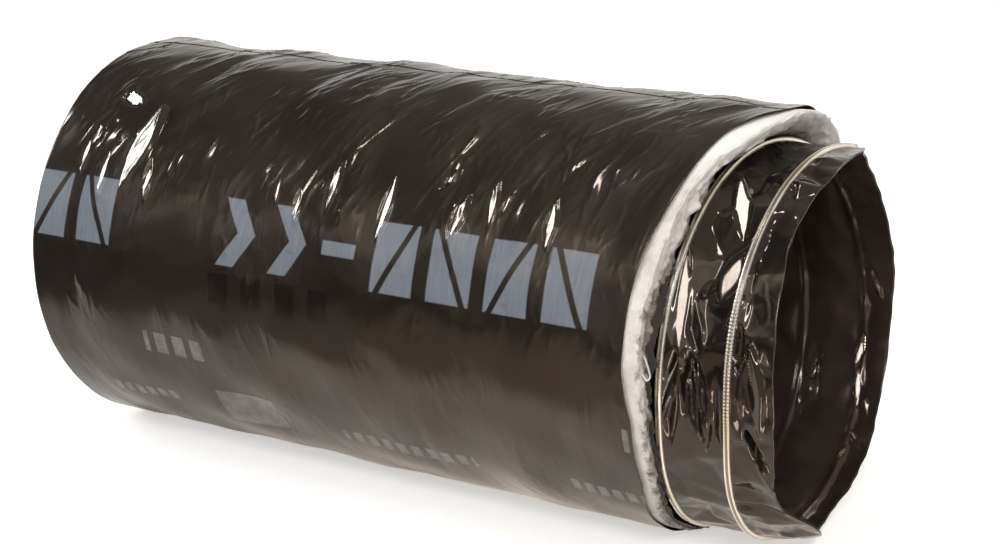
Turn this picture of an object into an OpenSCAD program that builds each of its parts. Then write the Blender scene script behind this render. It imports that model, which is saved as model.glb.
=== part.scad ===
// Insulated flexible air duct: a wire-helix film core inside a fibre blanket and a film jacket.
// +X runs along the duct towards its mouth, +Z is up. The origin is on the core's axis, in the
// plane of the mouth, and the duct lies on its side.

/* [Core] */
// Outside diameter of the round collar that the core slips over
collar_d = 300; // [200:5:400]
// Radial clearance between the collar and the core
collar_clear = 0.25; // [0.1:0.05:0.5]
// Length of the core, from its cut tail to its mouth
duct_l = 700; // [500:10:1000]
// Thickness of each of the core's two film plies
ply_t = 1; // [0.6:0.1:1.5]
// Length of the plain cuff at the mouth, ahead of the wire
cuff_l = 18; // [10:1:30]

/* [Helix wire] */
// Diameter of the spring-steel wire
wire_d = 2; // [1.4:0.1:3]
// Advance of the helix in one turn
pitch = 55; // [45:1:80]
// Distance from the cuff back to the wire's cut end
wire_end_gap = 4; // [3:0.5:8]

/* [Insulation blanket] */
// Thickness of the blanket above the core
blanket_top_t = 23; // [12:1:35]
// Thickness of the blanket below the core, where the weight presses it flat
blanket_bottom_t = 2.5; // [1.5:0.5:8]
// Distance from the mouth back to the blanket's front face
blanket_setback = 90; // [60:1:140]
// Radius of the blanket's rounded front lip
lip_r = 12; // [6:1:14]

/* [Jacket film] */
// Thickness of the jacket film
jacket_t = 1; // [0.6:0.1:1.5]
// Length of blanket that shows ahead of the jacket
blanket_bare_l = 18; // [10:1:40]
// Width of the lap seam where the jacket's two long edges overlap
lap_w = 30; // [15:1:50]
// Distance from the top line of the jacket to the lap's free edge
lap_edge_y = 6; // [0:1:15]
// Depth of the flat that the duct rests on
rest_flat = 3; // [2:0.5:6]

/* [Hidden] */

// Gap between a piece and what carries it
seat_gap = 0.25;
// Gap between pieces that slide past each other
slide_gap = 0.3;
// Overshoot of a cutting solid past the face that it cuts
cut = 1;
// Facets of a curved face
$fn = 96;

// Rings in one turn of the helix, and the share of its radius left at the middle of a chord
loop_rings = 24;
chord = cos(180 / loop_rings);
step_a = 360 / loop_rings;
// Angle of the wire's cut end round the axis, from +Y towards +Z
start_a = 90;
wire_sides = 6;

bore_r = collar_d / 2 + collar_clear;
inner_ply_r = bore_r + ply_t;
cuff_r = bore_r + 2 * ply_t;
cuff_back = -cuff_l;
tail = -duct_l;

// The wire seats on the inner ply at the middle of each chord
wire_r = (inner_ply_r + seat_gap + wire_d / 2) / chord;
wire_start = cuff_back - wire_end_gap;
turns = floor((wire_start - wire_end_gap - tail) / pitch);
wire_rings = turns * loop_rings;

// The outer ply's inner face: over the wire, and sagged between two turns
crest_r = wire_r + wire_d / 2 + seat_gap;
sag_r = (inner_ply_r + seat_gap) / chord;
crest_half = wire_d / 2 + 3 * seat_gap;
core_r = crest_r + ply_t;

// The blanket's outside is round about a centre above the core's axis
blanket_bore_r = core_r + slide_gap;
blanket_r = blanket_bore_r + (blanket_top_t + blanket_bottom_t + rest_flat) / 2;
outer_z = blanket_bore_r + blanket_top_t - blanket_r;
blanket_floor = -blanket_bore_r - blanket_bottom_t;
blanket_front = -blanket_setback;

jacket_inner_r = blanket_r + slide_gap;
jacket_r = jacket_inner_r + jacket_t;
jacket_inner_floor = blanket_floor - slide_gap;
floor_z = jacket_inner_floor - jacket_t;
jacket_front = blanket_front - blanket_bare_l;

// A round bar along X from x0 to x1
module bar(r, x0, x1, z = 0) {
    translate([x0, 0, z]) rotate([0, 90, 0]) cylinder(r = r, h = x1 - x0);
}

// Everything above the height z, between x0 and x1
module above(z, r, x0, x1) {
    translate([x0, -r, z]) cube([x1 - x0, 2 * r, 3 * r]);
}

// ---- Helix wire: one unbroken tube of six sides ----

// Angle round the axis and place along it of ring i
function ring_a(i) = start_a + i * step_a;
function ring_x(i) = wire_start - pitch * i / loop_rings;
function out_dir(a) = [0, cos(a), sin(a)];
function wire_centre(i) = [ring_x(i), 0, 0] + wire_r * out_dir(ring_a(i));

// The wire's outline at ring i, square to its run
function wire_ring(i) = [
    for (k = [0 : wire_sides - 1])
        let (b = 360 / wire_sides * k)
            wire_centre(i) + wire_d / 2 * (cos(b) * out_dir(ring_a(i)) + sin(b) * [1, 0, 0])
];

module helix_wire() {
    s = wire_sides;
    last = wire_rings * s;
    color([0.78, 0.73, 0.58]) polyhedron(
        points = [for (i = [0 : wire_rings]) each wire_ring(i)],
        faces = concat(
            [for (k = [1 : s - 2]) [0, k + 1, k]],
            [for (i = [0 : wire_rings - 1], k = [0 : s - 1])
                let (a = i * s + k, b = i * s + (k + 1) % s) each [[a, b, b + s], [a, b + s, a + s]]],
            [for (k = [1 : s - 2]) [last, last + k, last + k + 1]]
        )
    );
}

// Least gap between one turn of the wire and the next, measured on the helix's points
wire_gap = min([
    for (i = [0 : wire_rings - loop_rings / 2], j = [i + loop_rings / 2 : min(i + 2 * loop_rings, wire_rings)])
        norm(wire_centre(i) - wire_centre(j))
]) - wire_d;
echo(str("least gap between turns of the helix wire, mm: ", wire_gap));

// ---- Core films ----

module core_inner_ply() {
    color([0.07, 0.065, 0.06]) difference() {
        bar(inner_ply_r, tail, cuff_back);
        bar(bore_r, tail - cut, cuff_back + cut);
    }
}

module core_cuff() {
    color([0.08, 0.075, 0.07]) difference() {
        bar(cuff_r, cuff_back, 0);
        bar(bore_r, cuff_back - cut, cut);
    }
}

// The outer ply follows the wire. Each turn of it has four rows of points: two over the wire
// and two in the sag behind it. Column j stands at the wire's angle of ring j, and the rows
// step back with the helix, so that column 24 is column 0 one turn (four rows) further on.
turn_rows = 4;
row_back = [-crest_half, crest_half, pitch / 3, pitch * 2 / 3];
row_r = [crest_r, crest_r, sag_r, sag_r];
rows = turn_rows * (turns - 1) + 2;
col0_rows = rows + turn_rows;
col0_len = col0_rows + 2;
col_len = rows + 2;

function row_x(j, m) = ring_x(j) - row_back[m % turn_rows] - pitch * floor(m / turn_rows);
function film_pt(j, x, r) = [x, 0, 0] + r * out_dir(ring_a(j));

// One column of the film, from its front edge to its tail edge, t outside its inner face
function column(j, t) = concat(
    [film_pt(j, cuff_back, sag_r + t)],
    [for (m = [0 : (j == 0 ? col0_rows : rows) - 1]) film_pt(j, row_x(j, m), row_r[m % turn_rows] + t)],
    [film_pt(j, tail, sag_r + t)]
);

skin_len = col0_len + (loop_rings - 1) * col_len;

// Index of row m of column j on skin k. Column 24 is column 0, a turn further on.
function at(k, j, m) =
    j == loop_rings ? at(k, 0, m + turn_rows)
    : k * skin_len + (j == 0 ? 0 : col0_len + (j - 1) * col_len) + 1 + m;
function front(k, j) = at(k, j % loop_rings, -1);
function back(k, j) = let (c = j % loop_rings) at(k, c, c == 0 ? col0_rows : rows);

// The faces of one skin, seen from outside
function skin_faces(k) = concat(
    // Between two columns, row by row
    [for (j = [0 : loop_rings - 1], m = [0 : rows - 2])
        each [[at(k, j, m), at(k, j + 1, m), at(k, j + 1, m + 1)], [at(k, j, m), at(k, j + 1, m + 1), at(k, j, m + 1)]]],
    // From the front edge to the first row, which steps back with the helix
    [for (j = [0 : loop_rings - 1])
        each [[front(k, j), front(k, j + 1), at(k, j, 0)], if (j < loop_rings - 1) [front(k, j + 1), at(k, j + 1, 0), at(k, j, 0)]]],
    [for (m = [-1 : turn_rows - 1]) [at(k, 0, m), at(k, 0, m + 1), at(k, loop_rings - 1, 0)]],
    // From the last row to the tail edge
    [for (j = [0 : loop_rings - 1])
        each [[back(k, j), at(k, j + 1, rows - 1), back(k, j + 1)], if (j > 0) [back(k, j), at(k, j, rows - 1), at(k, j + 1, rows - 1)]]],
    [for (m = [rows - 1 : col0_rows - 1]) [at(k, 0, m + 1), at(k, 0, m), at(k, 1, rows - 1)]]
);

function flipped(faces) = [for (f = faces) [f[0], f[2], f[1]]];

module core_outer_ply() {
    edges = [
        for (j = [0 : loop_rings - 1])
            let (i = j + 1)
                each [
                    [front(0, j), front(0, i), front(1, i)], [front(0, j), front(1, i), front(1, j)],
                    [back(0, i), back(0, j), back(1, j)], [back(0, i), back(1, j), back(1, i)]
                ]
    ];
    color([0.11, 0.1, 0.095]) polyhedron(
        points = [for (t = [0, ply_t], j = [0 : loop_rings - 1]) each column(j, t)],
        faces = concat(flipped(skin_faces(0)), skin_faces(1), edges)
    );
}

// ---- Insulation blanket ----

// Half section of the blanket's outside, with a rounded front lip
module blanket_section() {
    l = blanket_front - tail;
    square([blanket_r - lip_r, l]);
    square([blanket_r, l - lip_r]);
    translate([blanket_r - lip_r, l - lip_r]) circle(lip_r);
}

module insulation_blanket() {
    color([0.9, 0.9, 0.88]) difference() {
        intersection() {
            translate([tail, 0, outer_z]) rotate([0, 90, 0]) rotate_extrude() blanket_section();
            above(blanket_floor, blanket_r + cut, tail - cut, blanket_front + cut);
        }
        bar(blanket_bore_r, tail - cut, blanket_front + cut);
    }
}

// ---- Jacket film ----

module jacket_film() {
    color([0.16, 0.14, 0.13]) difference() {
        union() {
            intersection() {
                bar(jacket_r, tail, jacket_front, outer_z);
                above(floor_z, jacket_r + cut, tail - cut, jacket_front + cut);
            }
            // The lap: a second layer of film over the top
            intersection() {
                bar(jacket_r + jacket_t, tail, jacket_front, outer_z);
                translate([tail, -lap_edge_y, outer_z]) cube([jacket_front - tail, lap_w, jacket_r + 2 * jacket_t]);
            }
        }
        intersection() {
            bar(jacket_inner_r, tail - cut, jacket_front + cut, outer_z);
            above(jacket_inner_floor, jacket_r + cut, tail - 2 * cut, jacket_front + 2 * cut);
        }
    }
}

core_inner_ply();
helix_wire();
core_outer_ply();
core_cuff();
insulation_blanket();
jacket_film();
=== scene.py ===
"""Insulated flexible air duct, dressed over its CAD frame.

Metres, in the CAD's frame: +X along the duct and out of its mouth, +Z up. Angles run round the
duct's axis from +Y towards +Z, so the top is at 90 degrees and the camera's side at 180.
"""
import math

import bpy
import numpy as np
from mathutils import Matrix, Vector
from mathutils.geometry import delaunay_2d_cdt


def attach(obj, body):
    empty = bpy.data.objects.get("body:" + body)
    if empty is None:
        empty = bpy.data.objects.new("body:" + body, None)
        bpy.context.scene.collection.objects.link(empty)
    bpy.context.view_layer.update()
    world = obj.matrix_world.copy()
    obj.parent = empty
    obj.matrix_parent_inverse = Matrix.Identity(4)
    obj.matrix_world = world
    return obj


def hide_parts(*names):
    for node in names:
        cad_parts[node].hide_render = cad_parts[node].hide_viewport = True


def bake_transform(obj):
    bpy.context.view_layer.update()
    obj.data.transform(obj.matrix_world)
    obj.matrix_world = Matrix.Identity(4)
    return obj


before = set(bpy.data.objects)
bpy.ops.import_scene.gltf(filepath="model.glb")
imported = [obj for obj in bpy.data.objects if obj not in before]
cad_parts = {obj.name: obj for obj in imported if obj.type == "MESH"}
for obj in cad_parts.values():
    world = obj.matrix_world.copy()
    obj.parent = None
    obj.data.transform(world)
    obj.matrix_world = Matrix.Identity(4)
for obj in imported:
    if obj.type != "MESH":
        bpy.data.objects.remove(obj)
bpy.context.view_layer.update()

# ---- Sizes, from the CAD ----

TAIL = -0.700
FLOOR_Z = -0.16017
JACKET_Z = 0.00875  # height of the jacket's centre over the core's axis
JACKET_R = 0.1719
PITCH = 0.055  # of the helix wire
WIRE_TOP = -0.02175  # where the helix crosses the top line
WIRE_R = 0.1544
WIRE_START, TURNS = 75.0, 11.9  # the wire's cut end, in degrees, and how many turns it makes

# ---- Sizes of the look ----

FILM_T = 0.0003
BEAD, BEAD_R = 0.0028, 0.1539  # radius of the bead over the wire, and where its middle runs
CORE_R = 0.154  # where the core is unrolled
CORE_LIMIT = 0.1560  # the core's film stays inside this, clear of the blanket
BLANKET_BORE, BLANKET_MAX = 0.1574, 0.1700
BLANKET_CUT = 0.004  # how far the blanket's tail stands inside the jacket's
JACKET_ROWS, JACKET_COLS, CORE_COLS = 520, 480, 680
FACET_SEED = 7
SAME_POINT, EDGE_TOL = 1e-7, 1e-6  # corners this close are one, and a share this far out is in

# ---- Camera, fitted to the photograph ----

cam_data = bpy.data.cameras.new("camera")
cam_data.sensor_width = 36.0
cam_data.lens = 77.85
cam_data.clip_end = 50
camera = bpy.data.objects.new("camera", cam_data)
bpy.context.collection.objects.link(camera)
AZ, EL, DIST = math.radians(33.168), math.radians(14.642), 1.819
back = Vector((math.sin(AZ) * math.cos(EL), -math.cos(AZ) * math.cos(EL), math.sin(EL)))
camera.location = Vector((-0.3281, 0, 0.0156)) + back * DIST
camera.rotation_euler = back.to_track_quat("Z", "Y").to_euler()
bpy.context.scene.camera = camera
bpy.context.scene.view_settings.view_transform = "Standard"

# ---- Lamps: (direction from the duct's middle, distance, (width, height), radiance) ----

LAMPS = {
    "key_lamp": ((-0.90, -0.25, 0.43), 2.34, (0.17, 0.95), 32.0),
    "kick_lamp": ((-0.10, -0.80, 0.58), 2.4, (0.16, 0.75), 20.0),
    "high_lamp": ((-0.12, -0.25, 0.96), 2.4, (0.30, 0.45), 23.0),
    "spark_lamp": ((0.52, -0.72, 0.50), 2.2, (0.20, 0.50), 36.0),
    "front_lamp": ((0.15, -0.82, 0.52), 2.4, (2.4, 1.3), 0.72),
    "back_lamp": ((0.25, 0.85, 0.75), 2.4, (1.0, 0.8), 2.0),
}
LAMPS_AIM = Vector((-0.33, 0, 0))  # the duct's middle
# Other places that the film mirrors: a bright spot of the floor, its near strip, and the dark room
MIRRORED = {"gleam": Vector((0.09, -0.44, FLOOR_Z)), "table": Vector((-0.42, -0.235, FLOOR_Z)),
            "gloom": Vector((-2.5, -1.6, 0.35))}


def lamp_place(name):
    if name in MIRRORED:
        return MIRRORED[name]
    towards, distance = LAMPS[name][:2]
    return LAMPS_AIM + Vector(towards).normalized() * distance


def aim(r, x, ang, glints, z=0.0):
    """The radii r, with small flat places tilted so that the camera sees a lamp or another place
    in them, and how much of each point is such a place. A glint is (lamp or place, x in mm,
    degrees, half width in mm, half length in degrees, lean in mm a degree, how flat it is round
    the duct)."""
    r, lit_part = r.copy(), np.zeros_like(r)
    a = np.radians(ang)
    for name, x0, a0, half_w, half_l, lean, flat in glints:
        x0, half_w, lean = x0 / 1000, half_w / 1000, lean / 1000
        off = (ang - a0 + 180) % 360 - 180
        taper = np.clip(1 - (abs(off) / half_l) ** 1.7, 0, 1)
        side = abs(x - x0 - lean * off) / np.maximum(half_w * taper, 1e-6)
        mask = smooth(1.25, 0.8, side) * (taper > 0)
        near = (abs(off) < 1.0) & (abs(x - x0) < 0.003)
        if not near.any():
            continue
        r0, t0 = r[near].mean(), math.radians(a0)
        mid = np.array([x0, r0 * math.cos(t0), z + r0 * math.sin(t0)])
        see, lit = (np.array(v) - mid for v in (camera.location, lamp_place(name)))
        n = see / np.linalg.norm(see) + lit / np.linalg.norm(lit)
        plane = n[0] * (x0 - x) + n[1] * mid[1] + n[2] * (mid[2] - z)
        plane = plane / (n[1] * np.cos(a) + n[2] * np.sin(a))
        tilted = r0 - n[0] / (n[1] * math.cos(t0) + n[2] * math.sin(t0)) * (x - x0)
        with np.errstate(invalid="ignore"):
            r = np.where(mask > 0, r + mask * (flat * plane + (1 - flat) * tilted - r), r)
        lit_part = np.maximum(lit_part, mask)
    return r, lit_part


# ---- Random fields ----

FIELD_X0, FIELD_L = -0.76, 0.84


def noise(round_l, across, along, turn, seed, res=0.002):
    """Random creases, periodic round the duct: crests `across` apart that run on for `along`,
    turned by `turn` degrees from the hoop direction towards +X."""
    n, m = int(FIELD_L / res), int(round_l / res)
    white = np.random.default_rng(seed).standard_normal((n, m))
    kx = np.fft.fftfreq(n, FIELD_L / n)[:, None]
    ks = np.fft.fftfreq(m, round_l / m)[None, :]
    c, s = math.cos(math.radians(turn)), math.sin(math.radians(turn))
    over, down = kx * c - ks * s, kx * s + ks * c
    f = 1 / across
    kept = np.exp(-(((abs(over) - f) / (0.5 * f)) ** 2) - (down * along) ** 2)
    out = np.fft.ifft2(np.fft.fft2(white) * kept).real
    return out / out.std()


def sample(field, x, s, round_l):
    """The field's value at x along the duct and s round it. It comes again both ways."""
    n, m = field.shape
    i = ((x - FIELD_X0) / FIELD_L * n) % n
    j = (s / round_l * m) % m
    i0, j0 = np.floor(i).astype(int), np.floor(j).astype(int)
    a, b = i - i0, j - j0
    i0 %= n
    j0 %= m
    i1, j1 = (i0 + 1) % n, (j0 + 1) % m
    return ((1 - a) * ((1 - b) * field[i0, j0] + b * field[i0, j1])
            + a * ((1 - b) * field[i1, j0] + b * field[i1, j1]))


def blurred(field, size, x_step, s_step):
    """The field with everything finer than about `size` metres rounded off."""
    kx = np.fft.fftfreq(field.shape[0], x_step)[:, None]
    ks = np.fft.fftfreq(field.shape[1], s_step)[None, :]
    kept = np.exp(-2 * (math.pi * size) ** 2 * (kx ** 2 + ks ** 2))
    return np.fft.ifft2(np.fft.fft2(field) * kept).real


def joined(corners):
    """The triangles between these corners, and which of the corners are kept."""
    _, _, faces, orig, _, _ = delaunay_2d_cdt([Vector(v) for v in corners], [], [], 0, SAME_POINT)
    return [list(f) for f in faces], np.array([o[0] for o in orig])


def shares(i, j, corners_i, corners_j, least):
    """How much the points (i, j) take from a triangle's first and second corner, or None for a
    triangle with less than this area."""
    (ia, ib, ic), (ja, jb, jc) = corners_i, corners_j
    den = (jb - jc) * (ia - ic) + (ic - ib) * (ja - jc)
    if abs(den) < least:
        return None
    u = ((jb - jc) * (i - ic) + (ic - ib) * (j - jc)) / den
    v = ((jc - ja) * (i - ic) + (ia - ic) * (j - jc)) / den
    return u, v


def covered(v, size):
    """The first and last of the grid's `size` rows that lie between these corners."""
    return max(math.ceil(min(v)), 0), min(math.floor(max(v)), size - 1)


def triangles(corners, values, steps, shape):
    """values at the corners, spread over flat triangles onto a grid with these steps."""
    faces, keep = joined(corners)
    gi, gj, val = corners[keep, 0] / steps[0], corners[keep, 1] / steps[1], values[keep]
    out = np.zeros(shape)
    for tri in faces:
        (i0, i1), (j0, j1) = covered(gi[tri], shape[0]), covered(gj[tri], shape[1])
        i, j = np.arange(i0, i1 + 1)[:, None], np.arange(j0, j1 + 1)[None, :]
        uv = shares(i, j, gi[tri], gj[tri], 1e-9)
        if i1 < i0 or j1 < j0 or uv is None:
            continue
        u, v = uv
        a, b, c = val[tri]
        inside = (u > -EDGE_TOL) & (v > -EDGE_TOL) & (u + v < 1 + EDGE_TOL)
        out[i0 : i1 + 1, j0 : j1 + 1][inside] = (u * a + v * b + (1 - u - v) * c)[inside]
    return out


def folded(round_l, across, along, seed, round_off, step=0.0012):
    """Random flat panels with sharp creases between them. Their corners lie `across` apart along
    the duct and `along` apart round it, and the field comes again both ways."""
    rng = np.random.default_rng(seed)
    n, m = round(FIELD_L / step), round(round_l / step)
    rows, cols = round(FIELD_L / across), round(round_l / along)
    i, j = np.meshgrid(np.arange(rows), np.arange(cols), indexing="ij")
    # In units of one panel each way, so that the triangles join true neighbours
    u = (i + rng.uniform(0.05, 0.95, i.shape)).ravel()
    v = (j + 0.5 * (i % 2) + rng.uniform(0.05, 0.95, j.shape)).ravel() % cols
    h = np.clip(rng.standard_normal(u.size), -2, 2)
    corners, values, margin = [], [], 3
    for a in (-1, 0, 1):
        for b in (-1, 0, 1):
            uu, vv = u + a * rows, v + b * cols
            near = (uu > -margin) & (uu < rows + margin) & (vv > -margin) & (vv < cols + margin)
            corners.append(np.stack([uu, vv], -1)[near])
            values.append(h[near])
    corners, values = np.concatenate(corners), np.concatenate(values)
    field = triangles(corners, values, (rows / n, cols / m), (n, m))
    return blurred(field, round_off, FIELD_L / n, round_l / m)


def smooth(a, b, v):
    """0 up to a, 1 from b, and eased between them."""
    t = np.clip((v - a) / (b - a), 0, 1)
    return t * t * (3 - 2 * t)


def bell(reach, width):
    """Weights that smooth a row of values."""
    k = np.exp(-0.5 * (np.arange(-reach, reach + 1) / width) ** 2)
    return k / k.sum()


def around(points, ang):
    """A closed profile round the duct through (degrees, value) pairs, smoothed a little."""
    a, v = np.array(sorted(points), float).T
    grid, reach = np.arange(0, 360, 0.5), 8
    vals = np.interp(grid, a, v, period=360)
    vals = np.convolve(np.concatenate([vals[-reach:], vals, vals[:reach]]), bell(reach, 3.0), "valid")
    return np.interp(ang % 360, grid, vals, period=360)


# ---- Meshes ----


def link(name, mesh, material, body=None):
    obj = bpy.data.objects.new(name, mesh)
    bpy.context.collection.objects.link(obj)
    mesh.materials.append(material)
    if body:
        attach(obj, body)
    return obj


def quad_corners(idx):
    return np.stack([idx[:-1, :-1], idx[:-1, 1:], idx[1:, 1:], idx[1:, :-1]], -1)


def grid_mesh(name, p, wrap=(False, True), uv=None, attrs=None):
    """A smooth mesh over the points p[i, j], closed along either index where wrap says so. uv has
    one more row or column than p where the mesh closes."""
    n, m = p.shape[:2]
    idx = np.arange(n * m).reshape(n, m)
    if wrap[0]:
        idx = np.concatenate([idx, idx[:1]])
    if wrap[1]:
        idx = np.concatenate([idx, idx[:, :1]], 1)
    quads = quad_corners(idx).reshape(-1, 4)
    mesh = bpy.data.meshes.new(name)
    mesh.vertices.add(n * m)
    mesh.vertices.foreach_set("co", p.reshape(-1).astype(np.float32))
    mesh.loops.add(quads.size)
    mesh.loops.foreach_set("vertex_index", quads.reshape(-1).astype(np.int32))
    mesh.polygons.add(len(quads))
    mesh.polygons.foreach_set("loop_start", np.arange(0, quads.size, 4, dtype=np.int32))
    mesh.polygons.foreach_set("use_smooth", np.ones(len(quads), bool))
    if uv is not None:
        at = quad_corners(np.arange(idx.size).reshape(idx.shape)).reshape(-1)
        layer = mesh.uv_layers.new(name="flat")
        layer.data.foreach_set("uv", uv.reshape(-1, 2)[at].reshape(-1).astype(np.float32))
    for key, value in (attrs or {}).items():
        layer = mesh.attributes.new(key, "FLOAT", "POINT")
        layer.data.foreach_set("value", value.reshape(-1).astype(np.float32))
    mesh.update(calc_edges=True)
    mesh.validate()
    return mesh


def polar(x, ang, r, z=0.0):
    """Points at x, at an angle in degrees and a radius about a centre at height z."""
    a = np.radians(ang)
    return np.stack(np.broadcast_arrays(x, r * np.cos(a), z + r * np.sin(a)), -1)


def film_shell(name, out, inn, x, ang, round_l):
    """A closed shell of film from its outside and inside points: outside rows, then inside rows."""
    xx = np.concatenate([x, x[::-1], x[:1]])
    xx = np.concatenate([xx, xx[:, :1]], 1)
    s = np.concatenate([ang[0], ang[0][:1] + 360]) / 360 * round_l
    uv = np.stack(np.broadcast_arrays(xx, s[None, :]), -1)
    return grid_mesh(name, np.concatenate([out, inn[::-1]]), (True, True), uv)


# ---- Materials ----


class Nodes:
    """Short names for building the nodes of a tree."""

    def __init__(self, tree):
        self.tree = tree

    def node(self, kind, **values):
        n = self.tree.nodes.new(kind)
        for k, v in values.items():
            setattr(n, k, v)
        return n

    def wire(self, value, socket):
        if isinstance(value, bpy.types.NodeSocket):
            self.tree.links.new(value, socket)
        else:
            socket.default_value = value

    def math(self, op, *args):
        n = self.node("ShaderNodeMath", operation=op)
        for a, s in zip(args, n.inputs):
            self.wire(a, s)
        return n.outputs[0]

    def times(self, product, *more):
        for v in more:
            product = self.math("MULTIPLY", product, v)
        return product

    def mix(self, fac, a, b):
        n = self.node("ShaderNodeMix", data_type="RGBA")
        self.wire(fac, n.inputs[0])
        self.wire(a, n.inputs[6])
        self.wire(b, n.inputs[7])
        return n.outputs[2]

    def ramp(self, value, lo, hi, to_lo=0.0, to_hi=1.0, interpolation="LINEAR"):
        n = self.node("ShaderNodeMapRange", clamp=True, interpolation_type=interpolation)
        for a, s in zip((value, lo, hi, to_lo, to_hi), n.inputs):
            self.wire(a, s)
        return n.outputs[0]

    def between(self, value, out_lo, in_lo, in_hi, out_hi):
        """1 from in_lo to in_hi, and nothing beyond out_lo and out_hi."""
        return self.times(self.ramp(value, out_lo, in_lo), self.ramp(value, out_hi, in_hi))

    def near(self, value, centre, half, soft=0.0006):
        """1 within `half` of the centre."""
        off = self.math("ABSOLUTE", self.math("SUBTRACT", value, centre))
        return self.ramp(off, half - soft, half + soft, 1.0, 0.0)

    def split(self, vector):
        n = self.node("ShaderNodeSeparateXYZ")
        self.wire(vector, n.inputs[0])
        return n.outputs

    def noise(self, vector, scale, detail=3.0, rough=0.5, distort=0.0):
        n = self.node("ShaderNodeTexNoise")
        self.wire(vector, n.inputs["Vector"])
        for key, v in (("Scale", scale), ("Detail", detail), ("Roughness", rough), ("Distortion", distort)):
            n.inputs[key].default_value = v
        return n.outputs["Fac"]


class Material(Nodes):
    def __init__(self, name):
        self.mat = bpy.data.materials.new(name)
        self.mat.use_nodes = True
        super().__init__(self.mat.node_tree)
        self.bsdf = self.tree.nodes["Principled BSDF"]

    def flat(self):
        """Metres along the duct and round it, as the film lies unrolled."""
        return self.node("ShaderNodeUVMap", uv_map="flat").outputs[0]

    def object(self):
        return self.node("ShaderNodeTexCoord").outputs["Object"]

    def attr(self, name):
        return self.node("ShaderNodeAttribute", attribute_name=name).outputs["Fac"]

    def scaled(self, vector, scale, turn=0.0):
        n = self.node("ShaderNodeMapping")
        self.wire(vector, n.inputs[0])
        n.inputs[2].default_value = (0, 0, math.radians(turn))
        n.inputs[3].default_value = scale
        return n.outputs[0]

    def bump(self, height, distance, strength=1.0, normal=None):
        n = self.node("ShaderNodeBump")
        n.inputs["Strength"].default_value = strength
        n.inputs["Distance"].default_value = distance
        self.wire(height, n.inputs["Height"])
        if normal is not None:
            self.wire(normal, n.inputs["Normal"])
        return n.outputs[0]

    def set(self, **values):
        for k, v in values.items():
            self.wire(v, self.bsdf.inputs[k.replace("_", " ")])
        return self.mat


def large_print(k, along, s):
    """One row of large generic marks, where `along` runs from 0 over the row's length."""
    cell, high, middle, soft = 0.0527, 0.0280, 0.4850, 0.012
    u = k.math("DIVIDE", along, cell)
    i = k.math("FLOOR", u)
    f = k.math("FRACT", u)
    v = k.math("DIVIDE", k.math("SUBTRACT", middle, s), high)
    av = k.math("ABSOLUTE", v)
    # Chevrons in the first two cells
    tip = k.math("SUBTRACT", f, k.times(k.math("SUBTRACT", 1.0, av), 0.36))
    chevrons = k.times(k.near(tip, 0.30, 0.17, soft), k.math("LESS_THAN", i, 1.5))
    # A dash in the third
    third = k.math("COMPARE", i, 2.0, 0.5)
    dash = k.times(k.near(v, 0.0, 0.2, 0.02), k.near(f, 0.45, 0.30, soft), third)
    # Split blocks in the other four, the split leaning to either side by turns
    side = k.math("SUBTRACT", k.times(k.math("MODULO", i, 2.0), 2.0), 1.0)
    gap = k.near(k.math("SUBTRACT", f, k.times(v, 0.26, side)), 0.45, 0.055, soft)
    last = k.times(k.math("GREATER_THAN", i, 2.5), k.math("LESS_THAN", i, 6.5))
    blocks = k.times(k.near(f, 0.45, 0.37, soft), k.math("SUBTRACT", 1.0, gap), last)
    marks = k.math("ADD", k.math("ADD", chevrons, dash), blocks)
    return k.times(marks, k.ramp(av, 0.98, 1.02, 1.0, 0.0))


def small_print(k, along, s, centre, half, step, duty, a, b):
    """A row of small blocks between a and b along the repeat."""
    block = k.ramp(k.math("FRACT", k.math("DIVIDE", along, step)), duty, duty + 0.06, 1.0, 0.0)
    window = k.times(k.math("GREATER_THAN", along, a), k.math("LESS_THAN", along, b))
    return k.times(k.near(s, centre, half), block, window)


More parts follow.
